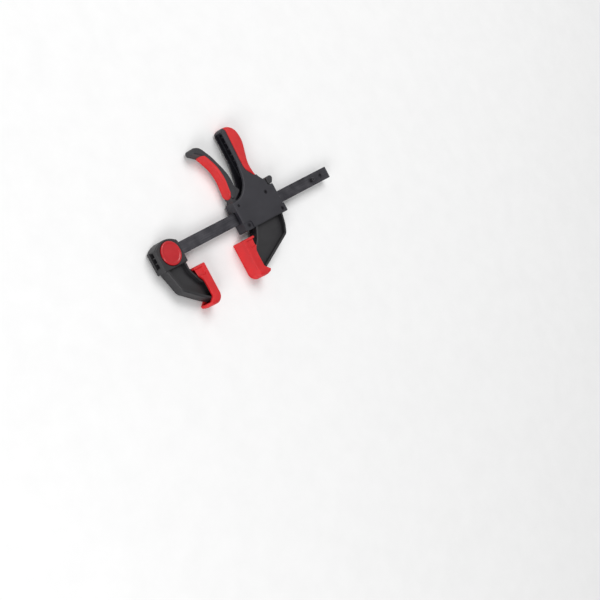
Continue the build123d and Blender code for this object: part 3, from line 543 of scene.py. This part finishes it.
def insert_sections(stations=150, across=28):
    """Sections of a crowned strip: the rise times (1 less |v| to the fifth) to the power of 1 / 2.4.

    v runs across the width, from -1 at one side to 1 at the other.
    """
    fine = even_steps(trigger_edge, FINE_POINTS)
    fine = fine[(fine[:, 1] > LOW_END) & (fine[:, 1] < HIGH_END)]
    share = eased(stations)
    even = np.linspace(0, 1, len(fine))
    at = np.stack([np.interp(share, even, fine[:, i]) for i in range(2)], axis=1)
    length = np.linalg.norm(np.diff(fine, axis=0), axis=1).sum()
    from_low, from_high = share * length, (1 - share) * length
    width = INSERT_HALF - round_off(from_low, LOW_END_ROUND) - round_off(from_high, HIGH_END_ROUND)
    v = np.cos(np.linspace(np.pi, 0, across))
    crown = (1 - np.abs(v) ** CROWN_FLATNESS) ** (1 / CROWN_FALL)
    rise = (INSERT_PROUD + EDGE_DROP) * crown - EDGE_DROP
    height = np.concatenate([rise, np.full(across, INSERT_SEAT)])
    side = np.concatenate([v, v[::-1]])
    soft_end = np.sqrt(np.minimum(1, np.minimum(from_low, from_high) / END_SLOPE))[:, None]
    lift = np.where(height > 0, height * soft_end, height)
    plane = at[:, None] + left_normals(at)[:, None] * lift[..., None]
    closed = np.where((share > 0) & (share < 1), width, 0.0)
    return np.dstack([plane, closed[:, None] * side[None]])


skin("trigger_insert_soft", [to_model(insert_sections(), JAW_OPENING)], "trigger",
     grip_rubber, "trigger_grip")

# %% [markdown]
# ## Jaw pads
# Each pad is a boot that slips over the tip of an arm, so it doesn't mark the work. It is like a cup
# lying on its side: a thick plate in front, walls that reach back by different amounts, a flange on top
# that lies over the arm, and a hook below it. The rim's own path in the side view says how far back the
# walls stand at each height. Under the flange each side has a sunken panel, which keeps the walls
# equally thin, so the moulding cools evenly and doesn't warp.

# %% Rim and side panel of a pad
PAD_TOP = -28.0
PAD_BOTTOM = -80.3
PAD_PLATE = 5.0
PAD_INSIDE_HALF = 7.7
PAD_INSIDE_TOP = -30.8
PAD_INSIDE_BOTTOM = -74.8
PANEL_LOW = -43.0
PANEL_SLOPE = 4 / 21
PANEL_CORNER = 4.0
PANEL_EDGE = 1.1
PANEL_DEPTH = 2.1
rim_path = rounded([(20.4, PAD_TOP + 1), (20.9, PAD_INSIDE_TOP), (18.6, PAD_INSIDE_TOP - 0.4),
                    (17.5, -40.5), (13.4, -46.5), (12.9, -52.0), (12.9, -69.2), (18.6, -73.6),
                    (20.9, -75.4), (19.4, -78.4), (13.5, PAD_BOTTOM - 0.5)],
                   [0.5, 0.8, 3, 3, 6, 4, 0.6, 1.2, 2.5])


def pad_reach(y):
    """How far back the wall stands at height y, read off the rim's path."""
    return np.interp(y, rim_path[::-1, 1], rim_path[::-1, 0])


def panel_sink(x, y):
    """Depth of the side panel: a smooth step, 3 t squared less 2 t cubed, over t from its border."""
    ahead = np.maximum(PANEL_CORNER - (x - PAD_PLATE), 0)
    above = np.maximum(PANEL_CORNER - (y - (PANEL_LOW + (x - PAD_PLATE) * PANEL_SLOPE)), 0)
    inside = np.minimum(PANEL_CORNER - np.hypot(ahead, above), PAD_INSIDE_TOP - y)
    t = np.clip(inside / PANEL_EDGE, 0, 1)
    return PANEL_DEPTH * t * t * (3 - 2 * t)


print("reach of the pad at flange, cheek and hook:", np.round(pad_reach(np.array([-30, -60, -75])), 1))

# %% [markdown]
# A loop of points runs round the cup like a string: up one side, over the top, down the other side and
# back below. Its four corners are arcs, small ones above and large ones below. A bevelled box would
# have straight walls of one length and a mouth that must be cut open. The loop is one formula for every
# depth, because each point only keeps which side it belongs to and which way its corner's normal
# points, and the wall at that depth gives the rest, so the shell stays closed however far its walls
# reach.

# %% Loop round a pad
PAD_HALF = 11.0
PAD_FACE_ROUND = 9.0
PAD_TOP_EDGE = 1.0
PAD_EDGE = 1.2
TOP_CORNER = 1.6
LOW_CORNER = 4.5
LOOP_POINTS = 640


def pad_loop():
    """Loop round the cup as two signs that say which side, the outward normal and the corner's radius."""
    tall = PAD_TOP - PAD_BOTTOM - TOP_CORNER - LOW_CORNER
    top_wide, low_wide = 2 * (PAD_HALF - TOP_CORNER), 2 * (PAD_HALF - LOW_CORNER)
    top_arc, low_arc = TOP_CORNER * np.pi / 2, LOW_CORNER * np.pi / 2
    legs = np.array([tall, top_arc, top_wide, top_arc, tall, low_arc, low_wide, low_arc])
    ends = np.concatenate([[0], np.cumsum(legs)])
    s = np.linspace(0, ends[-1], LOOP_POINTS, endpoint=False)
    y_sign = np.interp(s, ends, [-1, 1, 1, 1, 1, -1, -1, -1, -1])
    z_sign = np.interp(s, ends, [1, 1, 1, -1, -1, -1, -1, 1, 1])
    angle = np.interp(s, ends, np.radians([0, 0, 90, 90, 180, 180, 270, 270, 360]))
    return y_sign, z_sign, np.sin(angle), np.cos(angle), np.where(y_sign > 0, TOP_CORNER, LOW_CORNER)


def pad_wall(x, loop):
    """Loop at depth x: its corners' centres plus radius times normal, less the sunken panel."""
    y_sign, z_sign, y_out, z_out, corner = loop
    low_centre = PAD_BOTTOM + round_off(x, PAD_FACE_ROUND) + LOW_CORNER
    high_centre = PAD_TOP - round_off(x, PAD_TOP_EDGE) - TOP_CORNER
    half = PAD_HALF - round_off(x, PAD_EDGE)
    y = low_centre + (y_sign + 1) / 2 * (high_centre - low_centre) + corner * y_out
    z = z_sign * (half - corner) + corner * z_out
    sink = panel_sink(x, y)
    return y, np.clip(z, sink - half, half - sink)


print("points on a pad's loop:", LOOP_POINTS)

# %% [markdown]
# Copies of the loop are the rows of the grid. The first ones grow from the middle of the face to its
# edge, the next follow the walls back to the rim, then they turn over it in two quarter circles with a
# flat between them, and the last come back inside to the plate. How far back the rim stands depends on
# the height alone, also on the way over the rim. The rows stand closer where the panel's border crosses
# them, so its step comes out smooth.

# %% Rows of a pad
RIM_ROUND = 0.7
BEHIND = 30.0
NO_GAP = 1e-6
FACE_SHARES = (0.0, 0.3, 0.6, 0.85)
FLOOR_SHARES = (0.6, 0.3, 0.0)
STRAIGHT_ROWS_TO = 11.0
STRAIGHT_ROWS = 60
CROWDING = 1.3
BACK_ROWS = 12
ARC_ROWS = 6
FLAT_ROWS = 8
INSIDE_ROWS = 10


def outer_rows(loop, back_to):
    """Face and outside: shares of the face's loop, then walls at depths up to where the rim turns."""
    around = np.ones(LOOP_POINTS)
    y_face, z_face = pad_wall(0.0 * around, loop)
    y_mid = (PAD_TOP + PAD_BOTTOM + PAD_FACE_ROUND) / 2
    rows = [(0.0, y_mid + (y_face - y_mid) * share, z_face * share) for share in FACE_SHARES]
    depths = [x * around for x in STRAIGHT_ROWS_TO * np.linspace(0, 1, STRAIGHT_ROWS) ** CROWDING]
    depths += [STRAIGHT_ROWS_TO + share * (back_to - STRAIGHT_ROWS_TO)
               for share in np.linspace(0, 1, BACK_ROWS)[1:]]
    return rows + [(x, *pad_wall(x, loop)) for x in depths]


def rim_steps(lip, gap):
    """Rise and way across the rim: a quarter circle up, a flat, and a quarter circle down."""
    quarter = np.linspace(0, np.pi / 2, ARC_ROWS)[1:]
    steps = [(np.sin(angle), lip * (1 - np.cos(angle))) for angle in quarter]
    steps += [(1.0, lip + (gap - 2 * lip) * share) for share in np.linspace(0, 1, FLAT_ROWS)[1:-1]]
    steps += [(np.sin(angle), gap - lip * (1 - np.cos(angle))) for angle in quarter[::-1]]
    return steps + [(0.0, gap)]


def pad_grid():
    """Rows from the middle of the face, out and back along the walls, over the rim and in again."""
    loop = pad_loop()
    y_back, z_back = pad_wall(np.full(LOOP_POINTS, BEHIND), loop)
    reach = pad_reach(y_back)
    y_in = np.clip(y_back, PAD_INSIDE_BOTTOM, PAD_INSIDE_TOP)
    z_in = np.clip(z_back, -PAD_INSIDE_HALF, PAD_INSIDE_HALF)
    y_rim, z_rim = pad_wall(reach, loop)
    gap = np.maximum(np.hypot(y_rim - y_in, z_rim - z_in), NO_GAP)
    lip = np.minimum(RIM_ROUND, gap / 2)
    rows = outer_rows(loop, reach - lip)
    for rise, step in rim_steps(lip, gap):
        y = y_rim + (y_in - y_rim) / gap * step
        rows.append((pad_reach(y) - lip + lip * rise, y, z_rim + (z_in - z_rim) / gap * step))
    for share in np.linspace(1, 0, INSIDE_ROWS)[1:]:
        rows.append((PAD_PLATE + (pad_reach(y_in) - lip - PAD_PLATE) * share, y_in, z_in))
    y_floor = (PAD_INSIDE_TOP + PAD_INSIDE_BOTTOM) / 2
    rows += [(PAD_PLATE, y_floor + (y_in - y_floor) * share, z_in * share) for share in FLOOR_SHARES]
    return np.stack([np.stack(np.broadcast_arrays(*row), axis=1) for row in rows])


pad = pad_grid()
PAD_CREASE = 65.0
skin("moving_pad_soft", [to_model(pad, JAW_OPENING)], "slider", pad_rubber,
     "moving_jaw_pad", crease=PAD_CREASE)
skin("fixed_pad_soft", [to_model(pad * (-1, 1, 1))], "bar", pad_rubber,
     "fixed_jaw_pad", crease=PAD_CREASE)

# %% [markdown]
# ## Lock button
# The button is a turned shape: a flat disc with a raised, rounded rim, so that the thumb finds it
# without looking. Its profile is a handful of points joined by arcs, and carrying it once round the
# button's axis gives the disc. The Spin tool does the same to a drawn profile, and in a formula it is
# only a cosine and a sine. Two legs pass the bar on either side, a rounded rectangle carried straight
# down, and end where the lock plate is screwed on.

# %% Button disc and legs
BUTTON_X = -40.0
BUTTON_RADIUS = 15.4
BUTTON_UNDER = 8.4
BUTTON_FACE = 10.9
RIM_WIDTH = 2.6
RIM_SLOPE = 1.0
DISH_RADIUS = BUTTON_RADIUS - RIM_WIDTH - RIM_SLOPE
DISH_EDGE = 0.55
DISH_MIDDLE = 0.35
PROFILE_POINTS = 90
LEG_HALF = 4.0
LEG_MIDDLE = 10.0
LEG_HALF_THICK = 1.4
LEG_END = -3.3
LEG_CORNER = 0.2


def button_disc(around=120):
    """Profile of radius and height carried round the Z axis."""
    profile = even_steps(rounded([
        (0.0, BUTTON_UNDER), (BUTTON_RADIUS, BUTTON_UNDER), (BUTTON_RADIUS, BUTTON_FACE),
        (BUTTON_RADIUS - RIM_WIDTH, BUTTON_FACE), (DISH_RADIUS, BUTTON_FACE - DISH_EDGE),
        (0.0, BUTTON_FACE - DISH_MIDDLE),
    ], [0.5, 1.3, 0.9, 1.2]), PROFILE_POINTS)
    turn = np.linspace(0, 2 * np.pi, around, endpoint=False)
    x = BUTTON_X + profile[:, :1] * np.cos(turn)
    y = profile[:, :1] * np.sin(turn)
    return np.dstack([x, y, profile[:, 1:] + 0 * x])


def leg(side):
    """A rounded rectangle carried from the disc down to the lock plate, closed at both ends."""
    corners = [(0, -1), (1, -1), (1, 1), (-1, 1), (-1, -1), (0, -1)]
    outline = rounded(corners, [LEG_CORNER] * 4, steps=6)[:-1]
    levels = np.array([BUTTON_UNDER, BUTTON_UNDER, LEG_END, LEG_END])
    size = np.array([0.0, 1.0, 1.0, 0.0])
    x = BUTTON_X + size[:, None] * outline[None, :, 0] * LEG_HALF
    y = side * LEG_MIDDLE + size[:, None] * outline[None, :, 1] * LEG_HALF_THICK
    return np.dstack([x, y, levels[:, None] + 0 * x])


skin("lock_button_cap", [to_model(button_disc()), to_model(leg(1)), to_model(leg(-1))], "button",
     button_abs, "lock_button")

# %% [markdown]
# ## Springs
# Three springs are wound from hard-drawn wire: a conical one under the button, whose turns sink past
# each other so that it can go nearly flat, and two straight ones, which push the drive plates and the
# brake plate back. The middle of the wire is a helix, and a circle carried along it, square to it, gives
# the surface. A bevelled curve would also look like wire, but a grid is a mesh from the start and its
# ends are closed. A spring gets shorter when its neighbour presses it, and each one here gets a mesh of
# its own.

# %% Wire on a helix
WIRE_SIDES = 12
STEPS_A_TURN = 40


def coil(radius, top_radius, wire, length, turns):
    """Round wire on a helix up the third axis, from one radius to another: a circle along the helix."""
    t = np.linspace(0, 1, int(turns * STEPS_A_TURN) + 1)
    turn = 2 * np.pi * turns * t
    spread = radius + (top_radius - radius) * t
    rise = wire + (length - 2 * wire) * t
    middle = np.stack([spread * np.cos(turn), spread * np.sin(turn), rise], axis=1)
    along = np.gradient(middle, axis=0)
    along /= np.linalg.norm(along, axis=1, keepdims=True)
    across = np.cross(along, np.stack([np.cos(turn), np.sin(turn), 0 * turn], axis=1))
    across /= np.linalg.norm(across, axis=1, keepdims=True)
    outward = np.cross(across, along)
    angle = np.linspace(0, 2 * np.pi, WIRE_SIDES, endpoint=False)[None, :, None]
    ring = np.cos(angle) * outward[:, None] + np.sin(angle) * across[:, None]
    thick = np.full(len(t), wire)
    middle, ring, thick = (np.concatenate([a[:1], a, a[-1:]]) for a in (middle, ring, thick))
    thick[[0, -1]] = 0
    return middle[:, None] + ring * thick[:, None, None]


def laid_along_x(coil_points, start):
    """A coil turned a quarter about Y, so that its axis runs along X from its start."""
    return coil_points[..., [2, 1, 0]] * (1, 1, -1) + start


def spring(name, grid, body, replaced):
    """A coil in metres that rides on a body, with a mesh of its own."""
    piece = skin(name, [grid], body, spring_steel, replaced)
    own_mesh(piece)


print("a turn of wire has", WIRE_SIDES * STEPS_A_TURN, "faces")

# %% The three springs
LOCK_SEAT = np.array([BUTTON_X, 0.0, 4.4])
lock_coil = coil(radius=6.4, top_radius=3.6, wire=0.35, length=3.98, turns=2.5) + LOCK_SEAT
spring("lock_spring_coil", to_model(lock_coil), "bar",
       replaced="lock_spring")

DRIVE_START, DRIVE_SEAT = (34.33, 13.0, 0.0), (66.0, 13.0, 0.0)
drive_coil = laid_along_x(coil(radius=3.1, top_radius=3.1, wire=0.5, length=31.65, turns=8), DRIVE_START)
spring("drive_spring_coil", to_model(drive_coil, JAW_OPENING), "slider",
       replaced="drive_spring")

BRAKE_START, BRAKE_SEAT = (85.48, -12.0, 0.0), (90.3, -12.0, 0.0)
brake_coil = laid_along_x(coil(radius=2.0, top_radius=2.0, wire=0.3, length=4.8, turns=3), BRAKE_START)
spring("brake_spring_coil", to_model(brake_coil, JAW_OPENING), "slider",
       replaced="brake_spring")

# %% [markdown]
# ## Table, light and camera
# The clamp lies on its flat side on a table of matt white paper, which is 8 m wide, so that its edge
# lies far outside the picture. Pulp gives the paper faint clouds, drawn 25 mm apart. A large soft lamp
# above, a second one from the jaw end and an even pale surrounding give the light of a small light
# tent: gentle shadows, wide sheens on the nylon and a clear highlight on the button. The amounts add up
# so that the paper renders just below white, and every other colour about as it is written.

# %% Pale table
PULP_MM = 25.0
HALF_TABLE = 4.0
TABLE_Z = solid_box[0][2]
paper, paper_shader = finish_named("matt_paper_table")
spot = add(paper, "ShaderNodeTexCoord").outputs["Object"]
pulp = add(paper, "ShaderNodeTexNoise", {"Vector": spot}, {"Scale": per_metre(PULP_MM), "Detail": 6.0})
pulp_tone = add(paper, "ShaderNodeValToRGB", {"Fac": pulp.outputs["Fac"]},
                stops=[(0.3, "f9f9f9"), (0.7, "fcfcfc")])
feed(paper, paper_shader, {"Base Color": pulp_tone.outputs["Color"]})
paper_shader.inputs["Roughness"].default_value = 0.9
paper_shader.inputs["Specular IOR Level"].default_value = 0.2
corners = HALF_TABLE * np.array([(-1, -1, 0), (1, -1, 0), (1, 1, 0), (-1, 1, 0)]) + (0, 0, TABLE_Z)
table_mesh = bpy.data.meshes.new("table")
table_mesh.from_pydata(corners.tolist(), [], [(0, 1, 2, 3)])
table_mesh.materials.append(paper)
table = bpy.data.objects.new("table", table_mesh)
bpy.context.scene.collection.objects.link(table)
print("table at", round(TABLE_Z, 4), "m,", 2 * HALF_TABLE, "m wide")

# %% Surrounding light
TENT_STRENGTH = 0.42
world = bpy.data.worlds.new("light_tent")
bpy.context.scene.world = world
world.use_nodes = True
tent = world.node_tree.nodes["Background"]
tent.inputs["Color"].default_value = linear("ffffff")
tent.inputs["Strength"].default_value = TENT_STRENGTH
print("surrounding light:", TENT_STRENGTH)

# %% Two soft lamps
def soft_lamp(name, place, target, side, watts):
    """Square lamp with a side in metres, at a place in metres, turned to face the target."""
    light = bpy.data.lights.new(name, "AREA")
    light.shape = "SQUARE"
    light.size = side
    light.energy = watts
    lamp = bpy.data.objects.new(name, light)
    bpy.context.scene.collection.objects.link(lamp)
    back = np.asarray(place, float) - np.asarray(target, float)
    back /= np.linalg.norm(back)
    right = np.cross([0.0, 1.0, 0.0], back)
    right /= np.linalg.norm(right)
    turned = np.eye(4)
    turned[:3, :3] = np.stack([right, np.cross(back, right), back], axis=1)
    turned[:3, 3] = place
    lamp.matrix_world = Matrix(turned.tolist())


MIDDLE = np.mean(solid_box, axis=0)
soft_lamp("lamp_above", place=MIDDLE + (0.6, 1.3, 2.4), target=MIDDLE, side=1.8, watts=40.0)
soft_lamp("lamp_jaw_end", place=MIDDLE + (-2.4, -0.9, 1.1), target=MIDDLE, side=1.1, watts=38.0)
print("lamps aim at", np.round(MIDDLE, 3))

# %% [markdown]
# The camera looks from the fixed jaw's end, 44 degrees above the table, and is rolled, so that the bar
# rises to the right. Its turn is built from three angles: two give the direction from the clamp to the
# camera, and the third rolls the frame about it. It stands 1.6 m back in that direction from a point on
# the bar's line by the lock button, then moves right and down in its own frame. It could be turned by
# hand until it looks right, but angles and distances can be read and changed one by one. Its places
# are in millimetres of the drawing.

# %% Camera
CAMERA_TURN = np.radians(45.5129)
CAMERA_RISE = np.radians(4.0214)
CAMERA_ROLL = np.radians(-27.8352)
CAMERA_DISTANCE = 1623.253
CAMERA_RIGHT = 163.5951
CAMERA_DOWN = 51.7953
CAMERA_START = np.array([-44.5, 0.0, 0.0])
FOCAL_LENGTH = 81.0
SENSOR_WIDTH = 36.0


def camera_matrix():
    """Place and turn of the camera: right, up and back axes as columns, then the place in metres."""
    back = np.array([-np.sin(CAMERA_TURN) * np.cos(CAMERA_RISE), np.sin(CAMERA_RISE),
                     np.cos(CAMERA_TURN) * np.cos(CAMERA_RISE)])
    right = np.cross([0.0, 1.0, 0.0], back)
    right /= np.linalg.norm(right)
    up = np.cross(back, right)
    rolled_right = np.cos(CAMERA_ROLL) * right + np.sin(CAMERA_ROLL) * up
    rolled_up = -np.sin(CAMERA_ROLL) * right + np.cos(CAMERA_ROLL) * up
    place = CAMERA_DISTANCE * back + CAMERA_RIGHT * rolled_right - CAMERA_DOWN * rolled_up + CAMERA_START
    matrix = np.eye(4)
    matrix[:3, :3] = np.stack([rolled_right, rolled_up, back], axis=1)
    matrix[:3, 3] = to_model(place)
    return Matrix(matrix.tolist())


lens = bpy.data.cameras.new("camera")
lens.lens = FOCAL_LENGTH
lens.sensor_width = SENSOR_WIDTH
camera = bpy.data.objects.new("camera", lens)
bpy.context.scene.collection.objects.link(camera)
camera.matrix_world = camera_matrix()
bpy.context.scene.camera = camera
bpy.context.scene.view_settings.view_transform = "Standard"
print("camera at", np.round(camera.matrix_world.translation, 3))

# %% [markdown]
# ## The solid model's box
# The box of the solid model is written down once more at the end.

# %% Write the solid model's box
print("solid box:", np.round(solid_box, 4).tolist())
